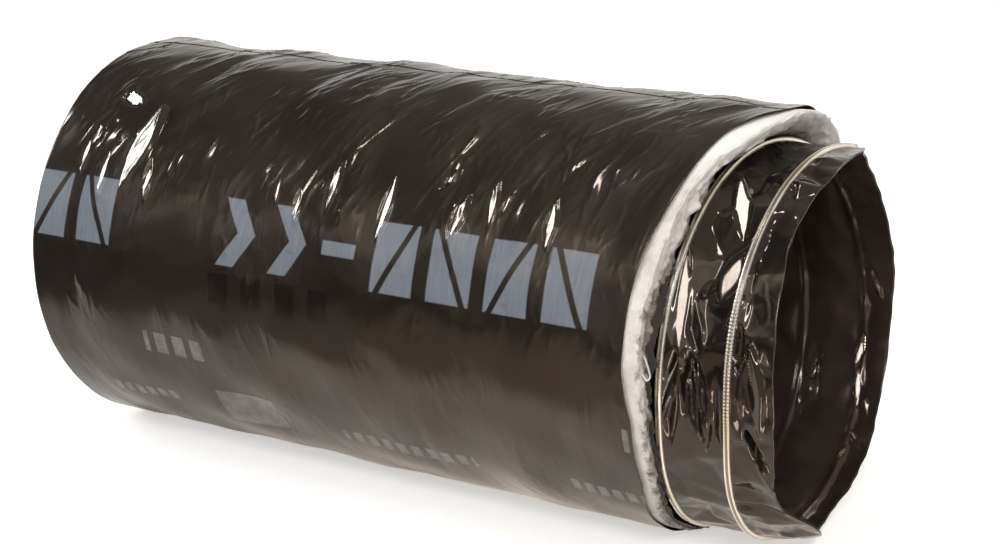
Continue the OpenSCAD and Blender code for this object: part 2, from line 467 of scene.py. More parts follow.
def jacket_material():
    k = Material("jacket_film")
    uv, obj = k.flat(), k.object()
    x, s = k.split(uv)[:2]
    # The print comes again every 470 mm. It stands for print and spells nothing.
    along = k.math("WRAP", k.math("ADD", x, 0.501), 0.470, 0.0)
    big = large_print(k, along, s)
    faded = small_print(k, along, s, 0.5330, 0.013, 0.034, 0.55, 0.0, 0.135)
    rows = [small_print(k, along, s, *row) for row in (
        (0.5950, 0.010, 0.020, 0.62, 0.388, 0.452), (0.6630, 0.0075, 0.0145, 0.58, 0.105, 0.235),
        (0.6600, 0.0065, 0.0125, 0.6, 0.320, 0.395))]
    small = k.math("MAXIMUM", rows[0], k.math("MAXIMUM", rows[1], rows[2]))
    badge = k.times(k.near(s, 0.6570, 0.0203, 0.0003), k.near(x, -0.4905, 0.0303, 0.0003))
    streaks = k.noise(k.scaled(uv, (420, 30, 1)), 1.0, 3.0, 0.6)
    worn = k.ramp(k.noise(k.scaled(uv, (60, 60, 1)), 1.0, 5.0, 0.65), 0.30, 0.42, 0.75, 1.0)
    ink = k.times(big, worn, k.ramp(streaks, 0.3, 0.7, 0.80, 1.0))
    rubbed = k.ramp(k.noise(k.scaled(uv, (45, 45, 1)), 1.0, 4.0, 0.7), 0.38, 0.62, 0.45, 1.0)
    pale = k.times(k.math("MAXIMUM", small, badge), rubbed)
    dust = k.ramp(k.noise(obj, 9.0, 6.0, 0.6), 0.35, 0.75)
    film = k.mix(dust, (0.0105, 0.0085, 0.0072, 1), (0.021, 0.0175, 0.0150, 1))
    film = k.mix(k.times(faded, 0.55), film, (0.003, 0.0025, 0.002, 1))
    film = k.mix(pale, film, (0.150, 0.150, 0.155, 1))
    film = k.mix(ink, film, (0.160, 0.184, 0.218, 1))
    fine = k.noise(k.scaled(uv, (420, 150, 1), 14), 1.0, 3.0, 0.5, 0.6)
    rough = k.ramp(k.noise(obj, 14.0, 5.0, 0.6), 0.3, 0.7, 0.10, 0.18)
    return k.set(Base_Color=film, Roughness=rough, IOR=1.56, Normal=k.bump(fine, 0.00006, 0.5),
                 Specular_Tint=(1.0, 0.84, 0.71, 1))


def core_material(name, lo, hi, smoothest):
    """Core film between the colours lo and hi, at its smoothest with this roughness."""
    k = Material(name)
    obj = k.object()
    film = k.mix(k.ramp(k.noise(obj, 22.0, 4.0, 0.6), 0.35, 0.7), lo, hi)
    fine = k.noise(k.scaled(obj, (170, 260, 260)), 1.0, 3.0, 0.6, 0.5)
    rough = k.ramp(k.noise(obj, 45.0, 4.0, 0.6), 0.35, 0.7, smoothest, smoothest + 0.08)
    return k.set(Base_Color=film, Roughness=rough, IOR=1.55, Normal=k.bump(fine, 0.00007, 0.5),
                 Specular_Tint=(1.0, 0.86, 0.74, 1))


def wire_material():
    k = Material("wire_bead")
    run, turn = k.split(k.flat())[:2]
    rib = 0.0027
    tick = k.math("SINE", k.times(run, 2 * math.pi / rib))
    obj = k.object()
    x, _, z = k.split(obj)
    ribbed = k.times(k.between(z, -0.06, -0.03, 0.055, 0.085), k.ramp(x, -0.082, -0.074, 0.25, 1.0))
    patch = k.noise(obj, 30.0, 4.0, 0.6)
    colour = k.mix(k.ramp(patch, 0.35, 0.65), (0.74, 0.65, 0.45, 1), (0.93, 0.89, 0.76, 1))
    # Painted highlight: paler, near white, at mid height, where the wire shines
    painted_shine = k.between(z, -0.005, 0.03, 0.080, 0.110)
    colour = k.mix(k.times(painted_shine, 0.8), colour, (1.0, 0.98, 0.95, 1))
    # Painted shade: a dark line along the bead's outside, where its groove runs, and dark troughs between
    # the fine ribs across it
    groove_shade = k.math("MINIMUM", turn, k.math("SUBTRACT", 1.0, turn))
    groove_shade = k.ramp(groove_shade, 0.045, 0.085, 0.9, 0.0)
    groove = k.times(k.ramp(tick, -1.0, -0.1, 0.75, 0.0), ribbed, k.ramp(patch, 0.36, 0.50))
    colour = k.mix(k.math("MAXIMUM", groove_shade, groove), colour, (0.085, 0.07, 0.048, 1))
    return k.set(Base_Color=colour, Roughness=0.24, Metallic=0.80, IOR=1.55, Coat_Weight=1.0,
                 Coat_Roughness=0.20, Normal=k.bump(k.times(tick, ribbed), 0.00020, 0.6))


def blanket_material():
    k = Material("insulation_fibre")
    obj = k.object()
    painted_shading = k.attr("painted_shading")
    cloud = k.noise(obj, 70.0, 6.0, 0.65, 0.4)
    fleck = k.noise(obj, 420.0, 3.0, 0.6)
    clean = k.mix(k.ramp(cloud, 0.3, 0.7), (0.52, 0.49, 0.46, 1), (0.76, 0.735, 0.71, 1))
    # Painted light: whiter along the top of the outside
    clean = k.mix(k.ramp(painted_shading, -0.25, 0.0, 1.0, 0.0), clean, (0.88, 0.87, 0.855, 1))
    # Painted shade: the face greys towards the core and goes near black in ragged patches beside it, broken
    # up by random blotches
    grey = k.mix(k.ramp(cloud, 0.36, 0.62), (0.090, 0.072, 0.060, 1), (0.37, 0.32, 0.28, 1))
    blotch = k.math("SUBTRACT", k.noise(obj, 110.0, 5.0, 0.65), 0.5)
    patchy = k.math("ADD", painted_shading, k.times(blotch, 1.3))
    colour = k.mix(k.ramp(patchy, 0.24, 0.50), clean, grey)
    colour = k.mix(k.ramp(patchy, 0.78, 0.98), colour, (0.035, 0.028, 0.024, 1))
    bump = k.bump(fleck, 0.0004, 0.5, k.bump(cloud, 0.0010, 0.5))
    return k.set(Base_Color=colour, Roughness=0.95, Sheen_Weight=0.3, Sheen_Roughness=0.5, IOR=1.3,
                 Normal=bump)


# ---- Jacket ----

JACKET_L = 2 * math.pi * JACKET_R
JACKET_REST = FLOOR_Z + 0.0002  # how low its outside reaches
# Its front edge: (degrees round the core, x in mm)
JACKET_FRONT = [
    (93, -67), (108, -89), (132, -97), (148, -106), (160, -110), (176, -111), (189, -104),
    (210, -106), (233, -121), (255, -122), (280, -117), (310, -112), (345, -106), (20, -98),
    (50, -84), (75, -70),
]
# How far the creases have wandered along the duct at each angle, in mm: they lean near the top
SWAY = [
    (60, 88), (90, 72), (120, 27), (150, 5), (180, 0), (215, 9), (250, 22), (290, 32), (0, 70),
    (30, 84),
]

soft_field = noise(JACKET_L, 0.110, 0.07, 10, 11)
calm_field = noise(JACKET_L, 0.13, 0.13, 0, 81)
fold_field = folded(JACKET_L, 0.030, 0.085, 21, 0.0016)
crease_field = folded(JACKET_L, 0.013, 0.040, 41, 0.0009)
pucker_field = folded(JACKET_L, 0.0065, 0.018, 61, 0.0006, 0.0010)


def pinched(round_l, across, along, turn, seed, width=0.2):
    """Thin raised creases that start and stop, from 0 to 1."""
    lines = noise(round_l, across, along, turn, seed, 0.001)
    some = noise(round_l, 0.045, 0.035, 0, seed + 1, 0.001)
    return np.exp(-((lines / width) ** 2)) * smooth(-0.1, 1.2, some)


pinch_field = pinched(JACKET_L, 0.046, 0.110, -8, 301) + 0.8 * pinched(JACKET_L, 0.034, 0.070, 14, 311)
wrinkle_field = pinched(JACKET_L, 0.030, 0.060, -22, 321) + pinched(JACKET_L, 0.022, 0.035, 4, 331, 0.25)

# Places that catch a lamp in the photograph
JACKET_GLINTS = [("key_lamp", *glint) for glint in (
    (-604, 141.5, 12.5, 13.5, -0.55, 0.8), (-583, 151.3, 4.0, 6.5, 0.34, 0.7),
    (-633, 151.3, 4.2, 7, 0.35, 0.7), (-660, 146.4, 4.0, 5.5, 0.21, 0.6),
    (-640, 125.8, 13, 3.2, 1.6, 0.9), (-446, 148.5, 2.6, 3.6, 0.70, 0.7),
    (-422, 152.2, 3.4, 5.2, 0.37, 0.7), (-393, 145.4, 5.2, 8.0, -0.09, 0.8),
    (-339, 148.9, 5.0, 9.5, -0.06, 0.8), (-290, 138.2, 3.6, 3.2, -1.7, 0.9),
    (-270, 148.5, 5.5, 7.0, -0.45, 0.8), (-245, 143.5, 4.8, 7.0, 0.30, 0.8),
    (-188, 147.0, 5.2, 7.0, 0.24, 0.8), (-126, 156, 1.8, 2.4, -1.2, 0.9),
    (-233, 142.6, 2.2, 3.8, -1.0, 0.8),
)]
# Places that would mirror a lamp and don't in the photograph: (x in metres, degrees)
DULLED = [(-0.532, 140), (-0.678, 134)]


def on_jacket(field, x, ang):
    return sample(field, x, ang / 360 * JACKET_L, JACKET_L)


def jacket_field(field, x, ang):
    """The field's value where its creases have wandered along the duct."""
    return on_jacket(field, x - around(SWAY, ang) / 1000, ang)


def jacket_busy(x, ang):
    """Some stretches of the jacket are more creased than others."""
    return np.clip(0.8 + 0.35 * on_jacket(calm_field, x, ang), 0.3, 1.3)


def hangs(ang):
    """1 where the film hangs smooth, along the lower half."""
    return smooth(175, 205, ang) * smooth(330, 290, ang)


def jacket_folds(x, ang):
    """How far the jacket's broad folds stand off its round, in metres."""
    soft = on_jacket(soft_field, x, ang)
    for x0, a0 in DULLED:
        soft = soft - 90 * (x - x0) * np.exp(-(((x - x0) / 0.024) ** 2) - ((ang - a0) / 11) ** 2)
    loose = 1 - 0.30 * hangs(ang)
    return 0.0008 * soft + jacket_busy(x, ang) * 0.0008 * loose * jacket_field(fold_field, x, ang)


def jacket_creases(x, ang):
    """The fine creases on top of the folds."""
    high = smooth(165, 125, ang) * smooth(20, 60, ang)
    facets = 0.00026 * jacket_field(crease_field, x, ang) + 0.00010 * jacket_field(pucker_field, x, ang)
    pinches = 0.00036 * jacket_field(pinch_field, x, ang) + 0.00026 * jacket_field(wrinkle_field, x, ang)
    loose = 1 - 0.55 * hangs(ang)
    return jacket_busy(x, ang) * loose * ((1 + 0.9 * high) * facets + (1 + 1.3 * high) * pinches)


def jacket_round(ang):
    """The jacket's radius about its centre: round, and flat where it lies on the floor."""
    down = -np.sin(np.radians(ang))
    flat = np.where(down > 0.5, (JACKET_Z - FLOOR_Z - 0.0012) / np.maximum(down, 0.5), 1.0)
    # The lesser of the two, eased where they meet. `base` keeps the exponentials in range.
    k, base = 1200.0, 0.15
    least = -np.log(np.exp(-k * (JACKET_R - base)) + np.exp(-k * np.minimum(flat - base, 0.2))) / k + base
    return np.where(down > 0.5, least, JACKET_R)


def about_core(ang, r=JACKET_R):
    """The angle about the core's axis of a point at this angle about the jacket's centre."""
    a = np.radians(ang)
    return np.degrees(np.arctan2(JACKET_Z + r * np.sin(a), r * np.cos(a)))


def jacket_edge(ang):
    return around(JACKET_FRONT, about_core(ang)) / 1000


def jacket_radius(x, ang, edge):
    """The jacket's outside. It dips less at its ends, where the blanket swells, and over the
    stretch that can slide over the blanket's front."""
    ahead, true_round = edge - x, jacket_round(ang)
    slides = smooth(0.130, 0.105, ahead)
    near = 0.0004 * slides + 0.0002 * smooth(0.020, 0.0, ahead)
    r, glint = aim(true_round + jacket_folds(x, ang) + near, x, ang, JACKET_GLINTS, JACKET_Z)
    r = r + (1 - 0.5 * glint) * jacket_creases(x, ang)
    ends = np.maximum(smooth(0.040, 0.018, ahead), smooth(0.040, 0.018, x - TAIL))
    # A soft stop, so that the film flattens out where it would reach the blanket
    least, soft = true_round - 0.0024 + 0.0019 * np.maximum(ends, 0.45 * slides), 0.00025
    return least + soft * np.logaddexp(0, (r - least) / soft)


def make_jacket(material):
    ang = np.arange(JACKET_COLS)[None, :] / JACKET_COLS * 360
    edge = jacket_edge(ang) + 0.0005 * on_jacket(crease_field, -0.1, ang)
    x = TAIL + np.linspace(0, 1, JACKET_ROWS)[:, None] * (edge - TAIL)
    ang = np.broadcast_to(ang, x.shape)
    r = jacket_radius(x, ang, edge)
    out, inn = polar(x, ang, r, JACKET_Z), polar(x, ang, r - FILM_T, JACKET_Z)
    out[..., 2] = np.maximum(out[..., 2], JACKET_REST)
    inn[..., 2] = np.maximum(inn[..., 2], JACKET_REST + FILM_T)
    mesh = film_shell("jacket_film_skin", out, inn, x, ang, JACKET_L)
    skin = link("jacket_film_skin", mesh, material, "jacket")
    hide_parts("jacket_film")
    make_lap(material)


def make_lap(material):
    """The upper layer of the lap seam: a strip of film along the top."""
    wide, cols = 11, 14  # degrees, and columns of points
    t = np.linspace(0, 1, JACKET_ROWS)[:, None]
    free = 92.4 - 2.0 * t  # where its free edge runs, in degrees
    ang = free - np.linspace(0, 1, cols)[None, :] * wide
    edge = jacket_edge(ang) + 0.001
    x = TAIL + t * (edge - TAIL)
    # Its free edge stands proud of the film, and its other side sinks into it
    r = jacket_radius(x, ang, edge) - 0.00012 + 0.00030 * smooth(wide, 7, free - ang)
    out, inn = polar(x, ang, r, JACKET_Z), polar(x, ang, r - FILM_T, JACKET_Z)
    p = np.concatenate([out, inn[:, ::-1]], 1)
    s = np.concatenate([ang, ang[:, ::-1], ang[:, :1]], 1) / 360 * JACKET_L
    xx = np.concatenate([x, x[:, ::-1], x[:, :1]], 1)
    mesh = grid_mesh("jacket_lap_seam", p, (False, True), np.stack([xx, s], -1))
    return link("jacket_lap_seam", mesh, material, "jacket")


# ---- Blanket ----

# Its furthest front, and where its face meets the bore: (degrees round the core, x in mm)
BLANKET_TIP = [
    (93, -58), (101, -61), (111, -71), (118, -81), (125, -87), (133, -91), (150, -95), (162, -98),
    (174, -99), (187, -95), (200, -95), (214, -99), (234, -113), (255, -115), (280, -110),
    (310, -104), (345, -96), (20, -86), (50, -72), (75, -60),
]
BLANKET_IN = [
    (93, -83), (101, -84), (111, -87), (120, -88.5), (130, -90), (140, -90.5), (150, -91),
    (164, -92), (176, -92), (187, -92), (200, -94.2), (214, -98), (234, -103.4), (258, -105),
    (285, -105), (315, -102), (345, -98), (20, -92), (50, -88), (75, -84),
]


def make_blanket(material):
    ang = np.arange(JACKET_COLS)[None, :] / JACKET_COLS * 360
    core_ang = about_core(ang, 0.168)
    tip = around(BLANKET_TIP, core_ang) / 1000
    inner = around(BLANKET_IN, core_ang) / 1000
    face = noise(JACKET_L, 0.007, 0.005, 0, 131)
    lump = noise(JACKET_L, 0.020, 0.018, 0, 133)
    r_out = np.minimum(jacket_round(ang) - 0.0030, BLANKET_MAX)
    # Bore radius, about the blanket's own centre, of a circle about the core's axis
    a = np.radians(ang)
    r_bore = -JACKET_Z * np.sin(a) + np.sqrt(BLANKET_BORE ** 2 - (JACKET_Z * np.cos(a)) ** 2)
    lip = np.minimum(0.0024, (r_out - r_bore) * 0.33)
    # The face stays pale nearly to the core along the top, and darkens all over lower down: painted shade
    upper = smooth(158, 148, ang) * smooth(20, 60, ang)
    # The section at each angle runs along the outside, round the lip, in over the face, back
    # through the bore and out over the tail. These are the rows of each stretch.
    out_n, lip_n, face_n, bore_n, tail_n = 120, 16, 26, 60, 14
    rows_x, rows_r, painted_shading = [], [], []

    def row(x, r, shading):
        for rows, v in zip((rows_x, rows_r, painted_shading), (x, r, shading)):
            rows.append(0 * tip + v)

    def steps(n):
        return np.linspace(0, 1, n + 1)[1:]

    for t in np.linspace(0, 1, out_n) ** 0.8:
        x = TAIL + BLANKET_CUT + t * (tip - lip - TAIL - BLANKET_CUT)
        bulge = smooth(0.030, 0.004, tip - x) + 0.7 * smooth(0.030, 0.006, x - TAIL)
        row(x, r_out + 0.0010 * bulge, 0.09 * smooth(0.010, 0.001, tip - x))
    top = rows_r[-1]
    for t in steps(lip_n):
        b = t * math.pi / 2
        x = -0.6 + t * 0.007
        tuft = 0.0005 * on_jacket(face, x, ang) + 0.0006 * on_jacket(lump, x, ang)
        row(tip - lip + (lip + tuft * t) * math.sin(b),
            top - lip * (1 - math.cos(b)) + tuft * math.sin(math.pi * t), 0.09 + 0.01 * t)
    start_r, start_x = rows_r[-1], rows_x[-1]
    # Painted shade: over the face it darkens towards the core, into the gap between blanket and core
    for t in steps(face_n):
        x = start_x + (inner - start_x) * t ** 1.3
        r = start_r + (r_bore + 0.0004 - start_r) * (1 - (1 - t) ** 1.2)
        rag = smooth(0.1, 0.7, t)
        fluff = on_jacket(face, -0.5 + t * 0.016, ang)
        clump = on_jacket(lump, -0.3 + t * 0.016, ang)
        row(x + rag * (0.0007 * fluff + 0.0016 * clump) + (1 - rag) * t * 0.003 * fluff,
            np.maximum(r + rag * 0.0004 * fluff * (1 - t), r_bore + 0.0002),
            0.10 + 0.90 * smooth(0, 1, (t - 0.04 - 0.46 * upper) / (0.70 - 0.14 * upper)))
    x_in = rows_x[-1]
    # Painted shade: dark all along the bore, and darkening into it over the tail
    for t in steps(bore_n):
        row(x_in + t * (TAIL + BLANKET_CUT - x_in), r_bore, 1)
    for t in steps(tail_n)[:-1]:
        fluff = on_jacket(face, -0.2 + t * 0.02, ang)
        row(TAIL + BLANKET_CUT - math.sin(math.pi * t) * 0.0022 * (1 + 0.5 * fluff),
            r_bore + t * (rows_r[0] - r_bore), 0.7 * (1 - t))
    x, r, painted_shading = (np.concatenate(rows) for rows in (rows_x, rows_r, painted_shading))
    # Painted shade: the lower part of the face is darker. Painted light: the top of the outside is lighter
    lower_shade = 0.20 * smooth(148, 165, ang) + 0.14 * smooth(180, 215, ang)
    painted_shading = painted_shading + lower_shade * smooth(0.0, 0.1, painted_shading) * smooth(340, 300, ang)
    painted_shading = painted_shading - 0.25 * smooth(142, 118, ang) * smooth(20, 60, ang) * smooth(0.4, 0.1, painted_shading)
    p = polar(x, np.broadcast_to(ang, x.shape), r, JACKET_Z)
    p[..., 2] = np.maximum(p[..., 2], FLOOR_Z + 0.0010)
    mesh = grid_mesh("insulation_wadding", p, (True, True), attrs={"painted_shading": painted_shading})
    wad = link("insulation_wadding", mesh, material, "insulation")
    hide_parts("insulation_blanket")


# A thread that has come loose from the blanket's face: (x in mm, degrees round the core)
THREAD = [
    (-103, 170.0), (-99.1, 171.5), (-95.3, 173.3), (-92.3, 175.7), (-90.3, 177.7), (-93.5, 178.9),
    (-96.2, 177.5), (-101, 176.1),
]


def make_thread(material):
    n, sides, reach = 57, 6, 6
    a, b = (np.interp(np.linspace(0, 7, n), range(8), v) for v in np.array(THREAD).T)
    a, b = (np.convolve(np.pad(v, reach, "edge"), bell(reach, 2.5), "valid") for v in (a, b))
    run = polar(a / 1000, b, 0.1650)
    ahead = np.gradient(run, axis=0)
    ahead /= np.linalg.norm(ahead, axis=1)[:, None]
    out = polar(0, b, 1)
    turn = np.radians(np.arange(sides) * 60)[None, :, None]
    # It tapers over its last three points
    thin = 0.0007 * np.minimum(1, np.minimum(np.arange(n), n - 1 - np.arange(n)) / 3 + 0.1)[:, None, None]
    side = np.cross(ahead, out)
    p = run[:, None] + thin * (np.cos(turn) * out[:, None] + np.sin(turn) * side[:, None])
    mesh = grid_mesh("insulation_thread", p)
    link("insulation_thread", mesh, material, "insulation")


# ---- Core ----

CORE_L = 2 * math.pi * CORE_R
# The cut edge of the mouth: (degrees, x in mm)
MOUTH = [
    (-134, 6), (-129, 12), (-124, 12), (-116, 3), (-108, -9), (-100, -21), (-89, -29), (-76, -34),
    (-68, -33), (-49, -32), (-32, -36), (-13, -38), (22, -38), (41, -39), (55, -36), (68, -29),
    (78, -16), (87, -9), (108, -6), (123, -9), (137, -9), (145, -5), (158, -3), (171, 0), (179, 2),
    (194, 1), (202, -1), (212, -5), (220, -4),
]
FINE_X = -0.26  # the core's rows of points lie close together ahead of this
# How far the wire's first turn stands ahead of an even helix at each angle, in mm
LEAN = [
    (75, -9.2), (90, -9.5), (105, -9.2), (120, -8.2), (135, -6.7), (150, -4.6), (162, -2.7),
    (172, -0.6), (181, 1.5), (190, 2.6), (196, 2.2), (204, 0.4), (212, -1.2), (218, -2.2),
    (226, -3.2), (235, -4.6), (250, -4.0), (270, -1.0), (300, 3.0), (330, 3.0), (0, -0.5),
    (30, -4.8), (55, -7.8),
]


def wire_x(total):
    """Where the wire stands along the duct at `total` degrees. Its lean dies away turn by turn."""
    lean = around(LEAN, total) / 1000 * np.exp(-0.45 * np.maximum(total - WIRE_START, 0) / 360)
    return WIRE_TOP - PITCH * (total - 90) / 360 + lean


def turn_at(x, ang):
    """How many turns of the wire lie ahead of x at each angle. Whole numbers are on the wire."""
    out = np.empty_like(x)
    k = np.arange(-2, 14)  # from two turns ahead of the wire's cut end to two past its last
    for j in range(x.shape[1]):
        a = (ang[0, j] - WIRE_START) % 360 + WIRE_START
        out[:, j] = np.interp(-x[:, j], -wire_x(a + 360.0 * k), k)
    return out


swell = noise(CORE_L, 0.030, 0.018, 20, 209)
core_pinch = pinched(CORE_L, 0.030, 0.090, 14, 401) + pinched(CORE_L, 0.036, 0.110, -12, 411)
core_facet = folded(CORE_L, 0.012, 0.030, 431, 0.0009)


def on_core(field, x, ang):
    return sample(field, x, ang / 360 * CORE_L, CORE_L)


def mouth_edge(ang):
    return around(MOUTH, ang) / 1000


def facet_points():
    """(x, degrees, radius) of the corners of the film's flat panels: close along the wire, sparse
    and in or out at random between two turns, and along the mouth's edge."""
    rng = np.random.default_rng(FACET_SEED)
    pts = []
    last = WIRE_START + 360 * (TURNS + 0.35)
    for total in np.arange(WIRE_START, last, 2.0):
        pts.append((wire_x(total), total, WIRE_R - 0.0006))
    # Between one turn and the next
    total = WIRE_START
    while total < last - 360:
        total += rng.uniform(13.0, 21.0)
        for f in (0.20, 0.47, 0.75):
            a = total + rng.uniform(-7.0, 7.0)
            f += rng.uniform(-0.09, 0.09)
            x = wire_x(a) + f * (wire_x(a + 360) - wire_x(a))
            deep = 0.0022 + 0.0030 * math.sin(math.pi * f)
            pts.append((x, a, WIRE_R - deep + np.clip(rng.normal(0, 0.0025), -0.0045, 0.0036)))
    # Along the mouth's wavy edge and past it, and between the edge and the wire
    step = 0.016
    for a in np.arange(WIRE_START, WIRE_START + 360, 3.0):
        edge = mouth_edge(a)
        room = edge - wire_x(a)
        t = math.radians(a)
        wave = 0.0008 * math.sin(5 * t + 1), 0.0005 * math.sin(11 * t), 0.0003 * math.sin(23 * t + 2)
        # Where the edge hangs forward, at the bottom, it droops inwards
        droop = 0.0088 * float(smooth(30, 5, abs(a % 360 - 238)))
        r = WIRE_R - 0.0016 + wave[0] + wave[1] + wave[2] - droop
        pts.append((edge, a, r))
        pts.append((edge + 0.012, a, r))
        for k in range(1, int(room / step) + 1):
            f = (k - 0.5 + rng.uniform(-0.3, 0.3)) * step
            if f < room - 0.005:
                x, off = edge - room + f, rng.uniform(-1.6, 1.6)
                r = WIRE_R - 0.0022 - droop * (f / room) ** 2 + rng.normal(0, 0.0017)
                pts.append((x, a + off, r))
    # At the tail, and past it
    for a in np.arange(0, 360, 4.0):
        for x in (TAIL + 0.002, TAIL - 0.015):
            pts.append((x, a, WIRE_R - 0.0012 + rng.normal(0, 0.0010)))
    return np.array(pts)


# Places where the photograph's core film catches a lamp, mirrors the table or is dark
CORE_GLINTS = [
    ("gloom", -60, 184, 11, 14, 0.50, 0.6), ("table", -80, 186, 8, 14, -0.15, 0.9),
    ("table", -42, 186, 4.5, 13, 0.30, 0.9), ("gloom", -82, 180, 3.0, 11, -0.55, 0.8),
    ("table", -14, 178, 8, 13, 0.4, 0.9), ("gloom", -27, 172, 3.0, 14, 0.2, 0.8),
    ("gloom", -12, 199, 4.0, 10, 1.0, 0.8), ("gloom", -66, 163.5, 6, 9.5, 0.95, 0.8),
    ("high_lamp", -60, 125, 7.5, 12.3, 1.10, 0.9), ("kick_lamp", -80, 157, 6.2, 17, 0.40, 0.8),
    ("gloom", -58.5, 150, 5, 5.2, -2.2, 0.8), ("kick_lamp", -47, 148, 8.5, 7.5, -0.54, 1.0),
    ("kick_lamp", -28.5, 152, 1.4, 11, -0.07, 0.9), ("kick_lamp", -13, 153.2, 2.4, 5, 1.28, 0.8),
    ("gleam", -61, 182, 1.1, 14, 0.61, 0.6), ("gleam", -66, 184, 0.9, 6, 0.8, 0.6),
    ("gleam", -55.5, 184, 0.9, 5, 0.6, 0.6), ("gleam", -53.5, 196, 1.6, 3.0, -0.5, 0.7),
    ("high_lamp", -52, 115.8, 2.2, 2.6, 0.6, 0.9), ("high_lamp", -46, 115.8, 1.8, 2.2, 0.2, 0.9),
]
# Places where the inner film catches a lamp, seen through the mouth
INNER_GLINTS = [("spark_lamp", *glint) for glint in (
    (-61.5, 342, 3.4, 6, 0.33, 0.9), (-57, 330.5, 3.2, 6.5, -0.55, 0.9),
    (-44, 324.5, 3.0, 3.4, -1.4, 0.9), (-44, 313, 3.0, 3.0, -2.5, 0.9),
    (-52, 308, 2.6, 2.8, 0.9, 0.8), (-52, 5, 2.6, 5, -0.8, 0.8), (-95, 335, 2.4, 5, 0.8, 0.8),
    (-104, 322, 2.4, 3.5, -0.8, 0.8),
)]


def panels(x, ang):
    """The grid's points on flat panels between the corners."""
    pts = facet_points()
    pts[:, 1] %= 360
    over = 30  # degrees by which the corners overlap where the round closes
    first, last = pts[pts[:, 1] < over], pts[pts[:, 1] > 360 - over]
    pts = np.concatenate([pts, first + (0, 360, 0), last - (0, 360, 0)])
    flat = np.stack([pts[:, 0], np.radians(pts[:, 1]) * CORE_R], -1)
    faces, keep = joined(flat)
    flat, corner = flat[keep], polar(pts[:, 0], pts[:, 1], pts[:, 2])[keep]
    out = np.zeros(x.shape + (3,))
    s = np.radians(ang[0]) * CORE_R
    for tri in faces:
        cx, cs = flat[tri].T
        j0, j1 = np.searchsorted(s, (cs.min(), cs.max()))
        if j0 >= j1:
            continue
        xs = x[:, j0:j1]
        i0 = np.searchsorted(xs.max(1), cx.min() - 1e-9)
        i1 = np.searchsorted(xs.min(1), cx.max() + 1e-9)
        uv = shares(xs[i0:i1], s[j0:j1], cx, cs, 1e-12)
        if i0 >= i1 or uv is None:
            continue
        u, v = uv
        w = 1 - u - v
        inside = (u > -EDGE_TOL) & (v > -EDGE_TOL) & (w > -EDGE_TOL)
        p = u[..., None] * corner[tri[0]] + v[..., None] * corner[tri[1]] + w[..., None] * corner[tri[2]]
        out[i0:i1, j0:j1][inside] = p[inside]
    return out


def eased(p, times=1):
    """p with its creases rounded over one grid step, its first and last rows kept."""
    for _ in range(times):
        q = 0.5 * p + 0.25 * (np.roll(p, 1, 1) + np.roll(p, -1, 1))
        p = q.copy()
        p[1:-1] = 0.5 * q[1:-1] + 0.25 * (q[:-2] + q[2:])
    return p


def normals(p):
    dx = np.gradient(p, axis=0)
    ds = np.roll(p, -1, 1) - np.roll(p, 1, 1)
    n = np.cross(ds, dx)
    return n / np.maximum(np.linalg.norm(n, axis=-1, keepdims=True), 1e-12)


def core_grid():
    """Where the grid's points lie along the core and round it."""
    ang = np.arange(CORE_COLS)[None, :] / CORE_COLS * 360
    edge = mouth_edge(ang) + 0.0004 * on_core(swell, -0.05, ang)
    rows = np.concatenate([np.linspace(TAIL, FINE_X, 90)[:-1], np.linspace(FINE_X, 0.0, 240)])
    # The fine rows are drawn back or out to the mouth's edge
    x = np.where(rows < FINE_X, rows, FINE_X + (rows - FINE_X) / -FINE_X * (edge.T - FINE_X)).T
    return x, np.broadcast_to(ang, x.shape)


def with_radius(p, r):
    """p moved out or in from the duct's axis to these radii."""
    p[..., 1:] *= (r / np.hypot(p[..., 1], p[..., 2]))[..., None]
    return p


def make_core(film, inner_film, bead):
    x, ang = core_grid()
    p = eased(panels(x, ang))
    q = turn_at(x, ang)
    f = q - np.floor(q)
    # The outer film: creased between the wire's turns, with the glints on top
    rise = (0.0001 * on_core(swell, x, ang) + 0.00025 * on_core(core_pinch, x, ang)
            + 0.00036 * on_core(core_facet, x, ang))
    r, glint = aim(np.hypot(p[..., 1], p[..., 2]), x, ang, CORE_GLINTS)
    low = smooth(195, 212, ang) * smooth(300, 280, ang)
    r = r + (1 - 0.88 * glint) * (1 - 0.4 * low) * rise * np.sqrt(np.maximum(np.sin(math.pi * f), 0))
    p = eased(with_radius(p, np.minimum(r, CORE_LIMIT)))
    shell = film_shell("core_film_outer", p, p - FILM_T * normals(eased(p, 2)), x, ang, CORE_L)
    outer = link("core_film_outer", shell, film)
    # The inner film hangs smoother than the outer one, and never through it
    near_wire = np.exp(-((np.minimum(f, 1 - f) * PITCH / 0.0032) ** 2)) * (q > -0.2)
    inn = eased(p, 12)
    r_out = np.hypot(p[..., 1], p[..., 2])
    r = np.minimum(np.hypot(inn[..., 1], inn[..., 2]) - 0.0011 - 0.0024 * near_wire, r_out - 0.0007)
    inn = with_radius(inn, np.minimum(aim(r, x, ang, INNER_GLINTS)[0], r_out - 0.0006))
    n = normals(eased(inn, 2))
    inn[-1, :, 0] -= 0.0004
    shell = film_shell("core_film_inner", inn, inn - FILM_T * n, x, ang, CORE_L)
    inner = link("core_film_inner", shell, inner_film)
    wire = make_bead("helix_wire_bead", np.arange(WIRE_START, WIRE_START + 360 * TURNS, 3.0), bead)
    for piece in (outer, inner, wire):
        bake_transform(piece)
    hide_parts("core_outer_ply", "core_cuff")
    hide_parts("core_inner_ply")
    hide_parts("helix_wire")


